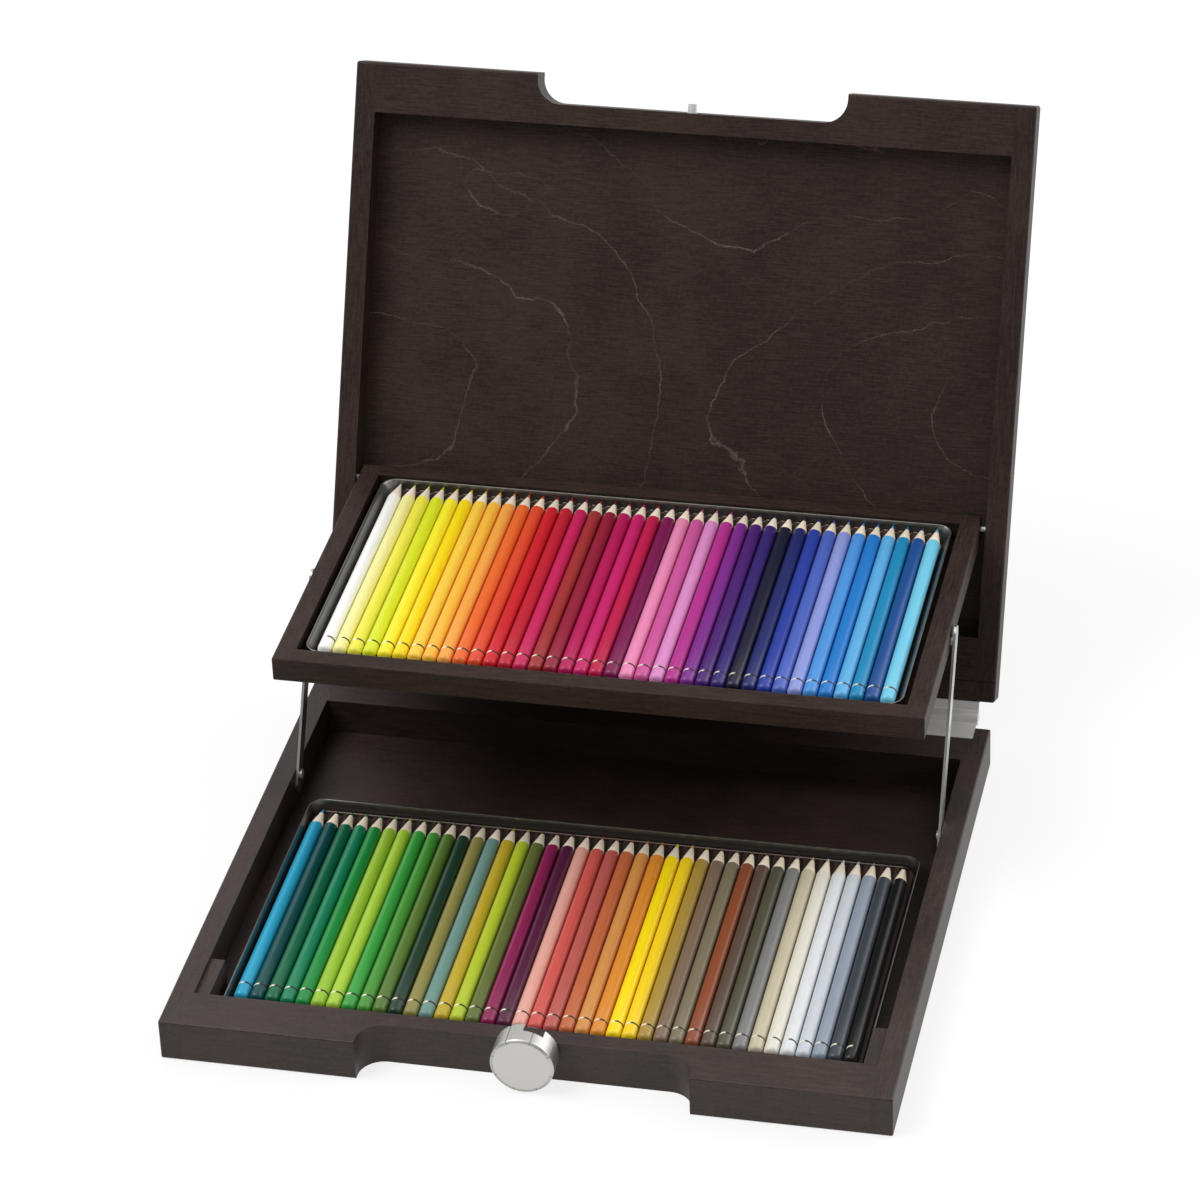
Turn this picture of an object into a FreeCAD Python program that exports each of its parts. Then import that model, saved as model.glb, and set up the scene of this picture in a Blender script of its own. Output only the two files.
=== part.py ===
import FreeCAD, Part
import math
import os

# A wooden pencil case: shallow base, hinged lid and an upper tray that rises with the lid.
# Millimetres. Origin at the centre of the base's underside, X right, front at -Y, Z up.
# The shapes are drawn as the case stands open.

V = FreeCAD.Vector
X_AXIS = V(1, 0, 0)
Y_AXIS = V(0, 1, 0)

# Base box
WIDTH = 388.0
DEPTH = 334.0
BASE_H = 24.0
SIDE_RAIL = 12.0
BASE_FRONT_RAIL = 27.0
BASE_REAR_RAIL = 32.0
BASE_FLOOR = 3.0
BASE_EDGE_R = 1.0

# Front notch, the same in the base and in the lid
NOTCH_W = 177.0
NOTCH_D = 16.8
NOTCH_R = 13.5

# Corner blocks that carry the closed tray
BLOCK_W = 7.6
BLOCK_L = 33.0
BLOCK_TOP = 21.7

# Lid, described as it lies closed
LID_GAP = 0.2
LID_T = 18.0
LID_PANEL_T = 3.5
LID_FRONT_RAIL = 28.2
LID_REAR_RAIL = 24.5
LID_HINGE_STRIP = 11.5
LID_EDGE_R = 1.5
LID_OPEN_DEG = 115.9

# Lid hinges
HINGE_Y = 176.2
HINGE_Z = 24.1
BARREL_R = 4.3
BARREL_OUT_X = 185.7
BARREL_IN_X = 124.3
BARREL_SPLIT_X = 154.85
KNUCKLE_GAP = 0.3
LEAF_TO_KNUCKLE = 0.4
HINGE_PIN_R = 1.5
PIN_RUN = 0.06
LEAF_T = 1.0
LEAF_X0 = 128.0
LEAF_X1 = 185.4
BASE_LEAF_Y0 = 156.0
LID_LEAF_H = 14.0
HINGE_SCREW_X = (139.0, 168.0)
BASE_SCREW_Y = 161.5
LID_SCREW_UP = 8.0
SCREW_HEAD_R = 2.4
SCREW_HEAD_T = 0.9
SCREW_R = 1.3
SCREW_L = 11.0

# Upper tray, level at all times
TRAY_W = 357.6
TRAY_Y0 = 29.3
TRAY_Y1 = 231.8
TRAY_Z0 = 109.2
TRAY_H = 14.0
TRAY_SIDE = 11.0
TRAY_FRONT = 11.2
TRAY_REAR = 10.0
TRAY_FLOOR = 3.0
TRAY_EDGE_R = 0.8

# Pivots of the tray: on the lid, and on two flat links that run parallel to the lid
LID_PIVOT_Y = 227.7
LID_PIVOT_Z = 117.0
PIVOT_PIN_R = 1.6
PIVOT_PIN_DEPTH = 8.0
LINK_PIVOT_Y = 69.0
LINK_PIVOT_Z = 19.3
LINK_X0 = 180.2
LINK_T = 1.4
LINK_W = 9.0
LINK_END_LOW = 10.5
LINK_END_HIGH = 9.0
LINK_PIN_R = 1.5
LINK_PIN_HEAD_R = 2.7
LINK_OPEN_PIVOT_GAP = 0.3

# Pencil tins with sloping sides, and the grooved beds in them
TIN_WALL = 0.6
TIN_RIM_W = 0.5
TIN_RIM_T = 0.9
TIN_CORNER_R = 9.0
TIN_SLOPE_Y = 0.6
UPPER_TIN_W = 329.4
UPPER_TIN_Y0 = 41.7
UPPER_TIN_Y1 = 221.6
UPPER_TIN_H = 9.8
UPPER_TIN_SLOPE_X = 5.5
LOWER_TIN_X = 1.35
LOWER_TIN_W = 343.9
LOWER_TIN_Y0 = -138.0
LOWER_TIN_Y1 = 55.8
LOWER_TIN_H = 10.6
LOWER_TIN_SLOPE_X = 2.2
BED_PLAY = 0.2
BED_REAR_GAP = 0.9
BED_BELOW_AXIS = 2.3

# Pencils
PENCIL_R = 3.95
PENCIL_L = 174.0
PENCIL_END_R = 1.5
CONE_L = 12.5
LEAD_L = 4.5
LEAD_R = 1.25
LEAD_TIP_R = 0.3
UPPER_REST = 2.6
LOWER_REST = 2.1
UPPER_COUNT = 38
UPPER_PITCH = 8.37
UPPER_X = 0.8
UPPER_BLUNT_Y = 45.8
LOWER_COUNT = 40
LOWER_PITCH = 8.38
LOWER_X = 0.9
LOWER_BLUNT_Y = -123.4

# Turning knob and catch pin
KNOB_R = 17.0
KNOB_Z = 17.9
KNOB_FRONT_Y = -164.4
KNOB_REAR_Y = -150.7
KNOB_EDGE_R = 1.0
KNOB_DISC_T = 3.0
KNOB_INNER_R = 14.8
KNOB_HUB_R = 8.0
KNOB_SLOT_W = 11.0
KNOB_SLOT_L = 5.5
KNOB_TURN_DEG = 17.5
KNOB_LINES = 8
KNOB_LINE_W = 0.6
KNOB_LINE_D = 0.4
AXLE_R = 3.0
AXLE_RUN = 0.08
AXLE_IN_HUB = 8.0
AXLE_END_R = 2.0
WASHER_R = 6.0
WASHER_T = 0.8
AXLE_PLAY = 0.4
NUT_R = 4.0
NUT_T = 2.6
CATCH_R = 2.65
CATCH_COLLAR_R = 2.9
CATCH_COLLAR_T = 0.8
CATCH_L = 5.6
CATCH_SHANK_R = 1.5
CATCH_UP = 5.0

HALF_W = WIDTH / 2
HALF_D = DEPTH / 2
INNER_X = HALF_W - SIDE_RAIL
LID_Z0 = BASE_H + LID_GAP
LID_Z1 = LID_Z0 + LID_T
LID_RECESS_Y0 = -HALF_D + LID_FRONT_RAIL
LID_RECESS_Y1 = HALF_D - LID_REAR_RAIL - LID_HINGE_STRIP
HINGE = V(0, HINGE_Y, HINGE_Z)
LEAF_NECK_Y = HINGE_Y - HINGE_PIN_R - 0.6
TRAY_X = TRAY_W / 2
TRAY_Z1 = TRAY_Z0 + TRAY_H
MIRROR_POINT = V(0, 0, 0)


def block(x0, x1, y0, y1, z0, z1):
    """A box between two corners."""
    return Part.makeBox(x1 - x0, y1 - y0, z1 - z0, V(x0, y0, z0))


def rod_x(x0, x1, y, z, r):
    """A round rod along X."""
    return Part.makeCylinder(r, x1 - x0, V(x0, y, z), X_AXIS)


def rod_y(x, y0, y1, z, r):
    """A round rod along Y."""
    return Part.makeCylinder(r, y1 - y0, V(x, y0, z), Y_AXIS)


def soft_block(x0, x1, y0, y1, z0, z1, r):
    """A box with all its edges rounded."""
    solid = block(x0, x1, y0, y1, z0, z1)
    return solid.makeFillet(r, solid.Edges)


def round_slab(x0, x1, y0, y1, z0, z1, r):
    """A slab whose four upright corners are rounded."""
    solid = block(x0, x1, y0, y1, z0, z1)
    upright = [e for e in solid.Edges if abs(e.Vertexes[0].Z - e.Vertexes[1].Z) > r / 100]
    return solid.makeFillet(r, upright)


def mirrored(shape):
    """The same shape on the other side of the case."""
    return shape.mirror(MIRROR_POINT, X_AXIS)


def opened(shape):
    """Turns a shape of the closed lid into its open place."""
    turned = shape.copy()
    turned.rotate(HINGE, X_AXIS, -LID_OPEN_DEG)
    return turned


def closed_point(y, z):
    """Where a point of the open lid lies when the lid is closed."""
    a = math.radians(LID_OPEN_DEG)
    dy = y - HINGE_Y
    dz = z - HINGE_Z
    return HINGE_Y + dy * math.cos(a) - dz * math.sin(a), HINGE_Z + dy * math.sin(a) + dz * math.cos(a)


def save(node, shape):
    """Writes one node, either a solid or a group of separate solids."""
    if isinstance(shape, list):
        shape = Part.makeCompound(shape)
    shape.exportStep("parts/" + node + ".step")
    print(node, len(shape.Solids), shape.isValid(), round(shape.Volume, 1))


def notch_tool(z0, z1):
    """The finger notch of the front edge, with rounded inner corners."""
    half = NOTCH_W / 2
    y_out = -HALF_D - 5
    y_in = -HALF_D + NOTCH_D
    y_arc = y_in - NOTCH_R
    x_arc = half - NOTCH_R
    k = NOTCH_R * math.sqrt(0.5)
    right_mid = V(x_arc + k, y_arc + k, z0)
    left_mid = V(-x_arc - k, y_arc + k, z0)
    edges = [
        Part.makeLine(V(-half, y_out, z0), V(half, y_out, z0)),
        Part.makeLine(V(half, y_out, z0), V(half, y_arc, z0)),
        Part.Arc(V(half, y_arc, z0), right_mid, V(x_arc, y_in, z0)).toShape(),
        Part.makeLine(V(x_arc, y_in, z0), V(-x_arc, y_in, z0)),
        Part.Arc(V(-x_arc, y_in, z0), left_mid, V(-half, y_arc, z0)).toShape(),
        Part.makeLine(V(-half, y_arc, z0), V(-half, y_out, z0)),
    ]
    return Part.Face(Part.Wire(edges)).extrude(V(0, 0, z1 - z0))


def both_sides(shape):
    """A shape and its mirror image."""
    return [shape, mirrored(shape)]


def hinge_screws(y, z, direction):
    """The flush screws of a right and a left leaf, their heads in the leaf face."""
    screws = []
    for x in HINGE_SCREW_X:
        head = Part.makeCylinder(SCREW_HEAD_R, SCREW_HEAD_T, V(x, y, z), direction)
        shank = Part.makeCylinder(SCREW_R, SCREW_L, V(x, y, z), direction)
        screws += both_sides(head.fuse(shank).removeSplitter())
    return screws


def hinge_leaf(plate, neck, knuckle_x0, knuckle_x1, bore_r, screws):
    """A leaf plate joined by a neck to its knuckle, its screw holes cut out."""
    knuckle = rod_x(knuckle_x0, knuckle_x1, HINGE_Y, HINGE_Z, BARREL_R)
    leaf = plate.fuse([neck, knuckle]).removeSplitter()
    leaf = leaf.cut(rod_x(knuckle_x0 - 1, knuckle_x1 + 1, HINGE_Y, HINGE_Z, bore_r))
    return leaf.cut(screws)


def pencil(x, z, blunt_y):
    """One round pencil along Y as barrel, bare wood cone and lead."""
    cone_y = blunt_y + PENCIL_L - CONE_L - LEAD_L
    lead_y = cone_y + CONE_L
    barrel = rod_y(x, blunt_y, cone_y, z, PENCIL_R)
    blunt = [e for e in barrel.Edges if abs(e.CenterOfMass.y - blunt_y) < 0.01]
    barrel = barrel.makeFillet(PENCIL_END_R, blunt)
    cone = Part.makeCone(PENCIL_R, LEAD_R, CONE_L, V(x, cone_y, z), Y_AXIS)
    lead = Part.makeCone(LEAD_R, LEAD_TIP_R, LEAD_L, V(x, lead_y, z), Y_AXIS)
    return barrel, cone, lead


def rounded_wire(x0, x1, y0, y1, z, r):
    """A level rectangle with rounded corners."""
    k = r * (1 - math.sqrt(0.5))
    edges = [
        Part.makeLine(V(x0 + r, y0, z), V(x1 - r, y0, z)),
        Part.Arc(V(x1 - r, y0, z), V(x1 - k, y0 + k, z), V(x1, y0 + r, z)).toShape(),
        Part.makeLine(V(x1, y0 + r, z), V(x1, y1 - r, z)),
        Part.Arc(V(x1, y1 - r, z), V(x1 - k, y1 - k, z), V(x1 - r, y1, z)).toShape(),
        Part.makeLine(V(x1 - r, y1, z), V(x0 + r, y1, z)),
        Part.Arc(V(x0 + r, y1, z), V(x0 + k, y1 - k, z), V(x0, y1 - r, z)).toShape(),
        Part.makeLine(V(x0, y1 - r, z), V(x0, y0 + r, z)),
        Part.Arc(V(x0, y0 + r, z), V(x0 + k, y0 + k, z), V(x0 + r, y0, z)).toShape(),
    ]
    return Part.Wire(edges)


def sloped_slab(x0, x1, y0, y1, z0, z1, slope_x, r):
    """A slab that widens from its bottom to the stated size at its top."""
    low = rounded_wire(x0 + slope_x, x1 - slope_x, y0 + TIN_SLOPE_Y, y1 - TIN_SLOPE_Y, z0, r)
    high = rounded_wire(x0, x1, y0, y1, z1, r)
    return Part.makeLoft([low, high], True, True)


def tin(x0, x1, y0, y1, z0, height, slope_x):
    """A shallow sheet tray with rounded corners, sloping sides and a small outward rim."""
    z1 = z0 + height
    rim = round_slab(x0, x1, y0, y1, z1 - TIN_RIM_T, z1, TIN_CORNER_R)
    a = TIN_RIM_W
    outer = sloped_slab(x0 + a, x1 - a, y0 + a, y1 - a, z0, z1, slope_x, TIN_CORNER_R - a)
    a += TIN_WALL
    inner = sloped_slab(x0 + a, x1 - a, y0 + a, y1 - a, z0, z1, slope_x, TIN_CORNER_R - a)
    floor = block(x0, x1, y0, y1, z0 - 1, z0 + TIN_WALL)
    return outer.fuse(rim).cut(inner.cut(floor)).removeSplitter()


def bed(x0, x1, y0, y1, z0, slope_x, axis_z, xs, blunt_y):
    """The grooved bed of a tin, one groove for each pencil."""
    a = TIN_RIM_W + TIN_WALL + BED_PLAY
    b = a + TIN_SLOPE_Y
    slab = round_slab(x0 + a + slope_x, x1 - a - slope_x, y0 + b, y1 - b - BED_REAR_GAP,
                      z0 + TIN_WALL, axis_z - BED_BELOW_AXIS, TIN_CORNER_R - a)
    grooves = [rod_y(x, blunt_y - 1, blunt_y + PENCIL_L + 1, axis_z, PENCIL_R + 0.05) for x in xs]
    return slab.cut(Part.makeCompound(grooves))


def pencil_rows(prefix, xs, z, blunt_y, groups):
    """Saves a row of pencils: barrels by colour group, then the bare points and the leads."""
    made = [pencil(x, z, blunt_y) for x in xs]
    first = 0
    for name, count in groups:
        save(prefix + "_pencils_" + name, [m[0] for m in made[first:first + count]])
        first += count
    save(prefix + "_pencil_points", [m[1] for m in made])
    save(prefix + "_pencil_leads", [m[2] for m in made])


def make_base():
    """Rails, floor, corner blocks, hinge leaves, link pins and the lower tin."""
    y0 = -HALF_D + BASE_FRONT_RAIL
    y1 = HALF_D - BASE_REAR_RAIL
    frame = soft_block(-HALF_W, HALF_W, -HALF_D, HALF_D, 0, BASE_H, BASE_EDGE_R)
    frame = frame.cut(notch_tool(-1, BASE_H + 1))
    save("base_floor_panel", frame.common(block(-INNER_X, INNER_X, y0, y1, 0, BASE_FLOOR)))

    axle_hole = rod_y(0, -HALF_D, y0 + 1, KNOB_Z, AXLE_R + AXLE_RUN)
    front = frame.common(block(-INNER_X, INNER_X, -HALF_D, y0, 0, BASE_H))
    save("base_front_rail", front.cut(axle_hole))

    screws = hinge_screws(BASE_SCREW_Y, BASE_H, V(0, 0, -1))
    mortise = block(LEAF_X0, LEAF_X1, BASE_LEAF_Y0, HALF_D + 1, BASE_H - LEAF_T, BASE_H + 1)
    rear = frame.common(block(-INNER_X, INNER_X, y1, HALF_D, 0, BASE_H))
    save("base_rear_rail", rear.cut(both_sides(mortise) + screws))

    side = frame.common(block(INNER_X, HALF_W, -HALF_D, HALF_D, 0, BASE_H))
    link_hole = rod_x(INNER_X - 1, INNER_X + PIVOT_PIN_DEPTH, LINK_PIVOT_Y, LINK_PIVOT_Z, LINK_PIN_R)
    side = side.cut([mortise, link_hole])
    save("base_right_rail", side)
    save("base_left_rail", mirrored(side))

    corner = block(INNER_X - BLOCK_W, INNER_X, y0, y0 + BLOCK_L, BASE_FLOOR, BLOCK_TOP)
    save("corner_block_right", corner)
    save("corner_block_left", mirrored(corner))

    knuckle_x1 = BARREL_SPLIT_X - KNUCKLE_GAP / 2
    leaf_z0 = BASE_H - LEAF_T
    plate_y1 = HINGE_Y - BARREL_R - LEAF_TO_KNUCKLE
    plate = block(LEAF_X0, LEAF_X1, BASE_LEAF_Y0, plate_y1, leaf_z0, BASE_H)
    neck = block(LEAF_X0, knuckle_x1, BASE_LEAF_Y0, LEAF_NECK_Y, leaf_z0, BASE_H)
    leaf = hinge_leaf(plate, neck, BARREL_IN_X, knuckle_x1, HINGE_PIN_R, screws)
    save("hinge_base_leaf_right", leaf)
    save("hinge_base_leaf_left", mirrored(leaf))
    hinge_pin = rod_x(BARREL_IN_X + 1, BARREL_OUT_X - 1, HINGE_Y, HINGE_Z, HINGE_PIN_R)
    save("hinge_pin_right", hinge_pin)
    save("hinge_pin_left", mirrored(hinge_pin))
    save("base_hinge_screws", screws)

    shank = rod_x(LINK_X0 - 0.1, INNER_X + PIVOT_PIN_DEPTH, LINK_PIVOT_Y, LINK_PIVOT_Z, LINK_PIN_R)
    head = rod_x(LINK_X0 - 1.1, LINK_X0 - 0.1, LINK_PIVOT_Y, LINK_PIVOT_Z, LINK_PIN_HEAD_R)
    save("link_base_pins", both_sides(head.fuse(shank)))


def make_lid():
    """Rails, panel, hinge strip, hinge leaves, tray pivot pins and the catch pin."""
    y0 = LID_RECESS_Y0
    y1 = LID_RECESS_Y1
    pivot_y, pivot_z = closed_point(LID_PIVOT_Y, LID_PIVOT_Z)
    frame = soft_block(-HALF_W, HALF_W, -HALF_D, HALF_D, LID_Z0, LID_Z1, LID_EDGE_R)
    frame = frame.cut(notch_tool(LID_Z0 - 1, LID_Z1 + 1))
    save("lid_panel", opened(frame.common(block(-INNER_X, INNER_X, y0, y1, LID_Z1 - LID_PANEL_T, LID_Z1))))

    notch_y = -HALF_D + NOTCH_D
    catch_z = LID_Z0 + CATCH_UP
    front = frame.common(block(-INNER_X, INNER_X, -HALF_D, y0, LID_Z0, LID_Z1))
    front = front.cut(rod_y(0, notch_y - 1, notch_y + PIVOT_PIN_DEPTH, catch_z, CATCH_SHANK_R))
    save("lid_front_rail", opened(front))
    catch = rod_y(0, notch_y - CATCH_L, notch_y, catch_z, CATCH_R)
    tip = [e for e in catch.Edges if abs(e.CenterOfMass.y - notch_y + CATCH_L) < 0.01]
    catch = catch.makeFillet(0.4, tip)
    catch = catch.fuse([rod_y(0, notch_y - CATCH_COLLAR_T, notch_y, catch_z, CATCH_COLLAR_R),
                        rod_y(0, notch_y, notch_y + PIVOT_PIN_DEPTH, catch_z, CATCH_SHANK_R)])
    save("catch_pin", opened(catch))

    rear = frame.common(block(-INNER_X, INNER_X, y1, y1 + LID_REAR_RAIL, LID_Z0, LID_Z1))
    save("lid_rear_rail", opened(rear))

    screws = hinge_screws(HALF_D + LEAF_T, LID_Z0 + LID_SCREW_UP, V(0, -1, 0))
    strip = frame.common(block(-INNER_X, INNER_X, y1 + LID_REAR_RAIL, HALF_D, LID_Z0, LID_Z1))
    save("lid_hinge_strip", opened(strip.cut(screws)))

    side = frame.common(block(INNER_X, HALF_W, -HALF_D, HALF_D, LID_Z0, LID_Z1))
    side = side.cut(rod_x(INNER_X - 1, INNER_X + PIVOT_PIN_DEPTH, pivot_y, pivot_z, PIVOT_PIN_R))
    save("lid_right_rail", opened(side))
    save("lid_left_rail", opened(mirrored(side)))

    knuckle_x0 = BARREL_SPLIT_X + KNUCKLE_GAP / 2
    plate = block(LEAF_X0, LEAF_X1, HALF_D, HALF_D + LEAF_T, LID_Z0, LID_Z0 + LID_LEAF_H)
    neck = block(knuckle_x0, LEAF_X1, HALF_D, LEAF_NECK_Y, LID_Z0, LID_Z0 + LEAF_T)
    leaf = hinge_leaf(plate, neck, knuckle_x0, BARREL_OUT_X, HINGE_PIN_R + PIN_RUN, screws)
    save("hinge_lid_leaf_right", opened(leaf))
    save("hinge_lid_leaf_left", opened(mirrored(leaf)))
    save("lid_hinge_screws", [opened(s) for s in screws])

    pin = rod_x(TRAY_X - PIVOT_PIN_DEPTH, INNER_X + PIVOT_PIN_DEPTH, pivot_y, pivot_z, PIVOT_PIN_R)
    save("tray_pivot_pins", [opened(p) for p in both_sides(pin)])


def make_tray():
    """Rails, floor and link pins of the upper tray."""
    q_y = LINK_PIVOT_Y + LID_PIVOT_Y - HINGE_Y
    q_z = LINK_PIVOT_Z + LID_PIVOT_Z - HINGE_Z
    in_x = TRAY_X - TRAY_SIDE
    y0 = TRAY_Y0 + TRAY_FRONT
    y1 = TRAY_Y1 - TRAY_REAR
    frame = soft_block(-TRAY_X, TRAY_X, TRAY_Y0, TRAY_Y1, TRAY_Z0, TRAY_Z1, TRAY_EDGE_R)
    save("tray_front_rail", frame.common(block(-in_x, in_x, TRAY_Y0, y0, TRAY_Z0, TRAY_Z1)))
    save("tray_rear_rail", frame.common(block(-in_x, in_x, y1, TRAY_Y1, TRAY_Z0, TRAY_Z1)))
    save("tray_floor_panel", frame.common(block(-in_x, in_x, y0, y1, TRAY_Z0, TRAY_Z0 + TRAY_FLOOR)))

    side = frame.common(block(in_x, TRAY_X, TRAY_Y0, TRAY_Y1, TRAY_Z0, TRAY_Z1))
    run_hole = rod_x(TRAY_X - PIVOT_PIN_DEPTH - 0.5, TRAY_X + 1, LID_PIVOT_Y, LID_PIVOT_Z,
                     PIVOT_PIN_R + AXLE_RUN)
    side = side.cut([run_hole, rod_x(TRAY_X - PIVOT_PIN_DEPTH, TRAY_X + 1, q_y, q_z, LINK_PIN_R)])
    save("tray_right_rail", side)
    save("tray_left_rail", mirrored(side))

    shank = rod_x(TRAY_X - PIVOT_PIN_DEPTH, LINK_X0 + LINK_T - 0.1, q_y, q_z, LINK_PIN_R)
    collar = rod_x(TRAY_X, LINK_X0 - 0.1, q_y, q_z, LINK_PIN_HEAD_R)
    save("link_tray_pins", both_sides(shank.fuse(collar)))

    strip = link_strip(q_y, q_z)
    save("link_strip_right", strip)
    save("link_strip_left", mirrored(strip))


def link_strip(q_y, q_z):
    """A flat strip with round ends, running hole at the base and open hole at the tray."""
    length = math.hypot(q_y - LINK_PIVOT_Y, q_z - LINK_PIVOT_Z)
    x1 = LINK_X0 + LINK_T
    low_y = LINK_PIVOT_Y - LINK_END_LOW + LINK_W / 2
    high_y = LINK_PIVOT_Y + length + LINK_END_HIGH - LINK_W / 2
    bar = block(LINK_X0, x1, low_y, high_y, LINK_PIVOT_Z - LINK_W / 2, LINK_PIVOT_Z + LINK_W / 2)
    ends = [rod_x(LINK_X0, x1, low_y, LINK_PIVOT_Z, LINK_W / 2),
            rod_x(LINK_X0, x1, high_y, LINK_PIVOT_Z, LINK_W / 2)]
    strip = bar.fuse(ends).removeSplitter()
    holes = [rod_x(LINK_X0 - 1, x1 + 1, LINK_PIVOT_Y, LINK_PIVOT_Z, LINK_PIN_R + AXLE_RUN),
             rod_x(LINK_X0 - 1, x1 + 1, LINK_PIVOT_Y + length, LINK_PIVOT_Z,
                   LINK_PIN_R + LINK_OPEN_PIVOT_GAP)]
    strip = strip.cut(holes)
    rise = math.degrees(math.atan2(q_z - LINK_PIVOT_Z, q_y - LINK_PIVOT_Y))
    strip.rotate(V(0, LINK_PIVOT_Y, LINK_PIVOT_Z), X_AXIS, rise)
    return strip


def make_contents():
    """The two tins, their beds and the pencils."""
    upper_z = TRAY_Z0 + TRAY_FLOOR
    axis = upper_z + TIN_WALL + UPPER_REST + PENCIL_R
    xs = [UPPER_X + (i - (UPPER_COUNT - 1) / 2) * UPPER_PITCH for i in range(UPPER_COUNT)]
    x1 = UPPER_TIN_W / 2
    save("upper_tin", tin(-x1, x1, UPPER_TIN_Y0, UPPER_TIN_Y1, upper_z, UPPER_TIN_H, UPPER_TIN_SLOPE_X))
    save("upper_tin_bed", bed(-x1, x1, UPPER_TIN_Y0, UPPER_TIN_Y1, upper_z, UPPER_TIN_SLOPE_X,
                              axis, xs, UPPER_BLUNT_Y))
    pencil_rows("upper", xs, axis, UPPER_BLUNT_Y,
                (("yellow", 9), ("red", 7), ("pink", 8), ("violet", 4), ("blue", 10)))

    axis = BASE_FLOOR + TIN_WALL + LOWER_REST + PENCIL_R
    xs = [LOWER_X + (i - (LOWER_COUNT - 1) / 2) * LOWER_PITCH for i in range(LOWER_COUNT)]
    x0 = LOWER_TIN_X - LOWER_TIN_W / 2
    x1 = LOWER_TIN_X + LOWER_TIN_W / 2
    save("lower_tin", tin(x0, x1, LOWER_TIN_Y0, LOWER_TIN_Y1, BASE_FLOOR, LOWER_TIN_H, LOWER_TIN_SLOPE_X))
    save("lower_tin_bed", bed(x0, x1, LOWER_TIN_Y0, LOWER_TIN_Y1, BASE_FLOOR, LOWER_TIN_SLOPE_X,
                              axis, xs, LOWER_BLUNT_Y))
    pencil_rows("lower", xs, axis, LOWER_BLUNT_Y,
                (("green", 11), ("olive", 5), ("rose", 6), ("ochre", 10), ("grey", 8)))


def make_knob():
    """The turning knob with its axle, washer and nut."""
    cup = rod_y(0, KNOB_FRONT_Y, KNOB_REAR_Y, KNOB_Z, KNOB_R)
    front_edge = [e for e in cup.Edges if abs(e.CenterOfMass.y - KNOB_FRONT_Y) < 0.01]
    cup = cup.makeFillet(KNOB_EDGE_R, front_edge)
    hollow_y = KNOB_FRONT_Y + KNOB_DISC_T
    hollow = rod_y(0, hollow_y, KNOB_REAR_Y + 1, KNOB_Z, KNOB_INNER_R)
    hollow = hollow.cut(rod_y(0, hollow_y, KNOB_REAR_Y + 1, KNOB_Z, KNOB_HUB_R))
    slot = block(-KNOB_SLOT_W / 2, KNOB_SLOT_W / 2, KNOB_REAR_Y - KNOB_SLOT_L, KNOB_REAR_Y + 1,
                 KNOB_Z + KNOB_HUB_R + 1, KNOB_Z + KNOB_R + 1)
    axle_hole = rod_y(0, KNOB_REAR_Y - AXLE_IN_HUB, KNOB_REAR_Y + 1, KNOB_Z, AXLE_R)
    lines = []
    for i in range(KNOB_LINES):
        line = block(-KNOB_LINE_W / 2, KNOB_LINE_W / 2, KNOB_FRONT_Y - 1, KNOB_REAR_Y + 1,
                     KNOB_Z + KNOB_R - KNOB_LINE_D, KNOB_Z + KNOB_R + 1)
        line.rotate(V(0, 0, KNOB_Z), Y_AXIS, i * 360.0 / KNOB_LINES)
        lines.append(line)
    cup = cup.cut([hollow, slot, axle_hole] + lines)
    cup.rotate(V(0, 0, KNOB_Z), Y_AXIS, KNOB_TURN_DEG)
    save("knob_cup", cup)

    wall_y = -HALF_D + BASE_FRONT_RAIL
    washer_y = wall_y + AXLE_PLAY
    nut_y = washer_y + WASHER_T
    axle = rod_y(0, KNOB_REAR_Y - AXLE_IN_HUB, washer_y, KNOB_Z, AXLE_R)
    axle = axle.fuse(rod_y(0, washer_y, nut_y + NUT_T + 0.8, KNOB_Z, AXLE_END_R))
    save("knob_axle", axle)
    washer = rod_y(0, washer_y, nut_y, KNOB_Z, WASHER_R)
    save("knob_washer", washer.cut(rod_y(0, washer_y - 1, nut_y + 1, KNOB_Z, AXLE_END_R)))
    corners = []
    for i in range(7):
        a = math.radians(60 * i)
        corners.append(V(NUT_R * math.cos(a), nut_y, KNOB_Z + NUT_R * math.sin(a)))
    nut = Part.Face(Part.makePolygon(corners)).extrude(V(0, NUT_T, 0))
    save("knob_nut", nut.cut(rod_y(0, nut_y - 1, nut_y + NUT_T + 1, KNOB_Z, AXLE_END_R)))


os.makedirs("parts", exist_ok=True)
make_base()
make_lid()
make_tray()
make_contents()
make_knob()
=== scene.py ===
"""Looks of a dark wooden pencil case that stands open, with a raised tray and two tins of pencils.

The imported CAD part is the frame: its rails, panels and fittings stay and get their finishes here.
Tins and pencils are worked out again as finer surfaces in the places of their CAD nodes.
Lengths are metres, in the frame of the part: X right, front at -Y, Z up.
"""

import logging
import math
from dataclasses import dataclass
from enum import Enum
from typing import Sequence

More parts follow.
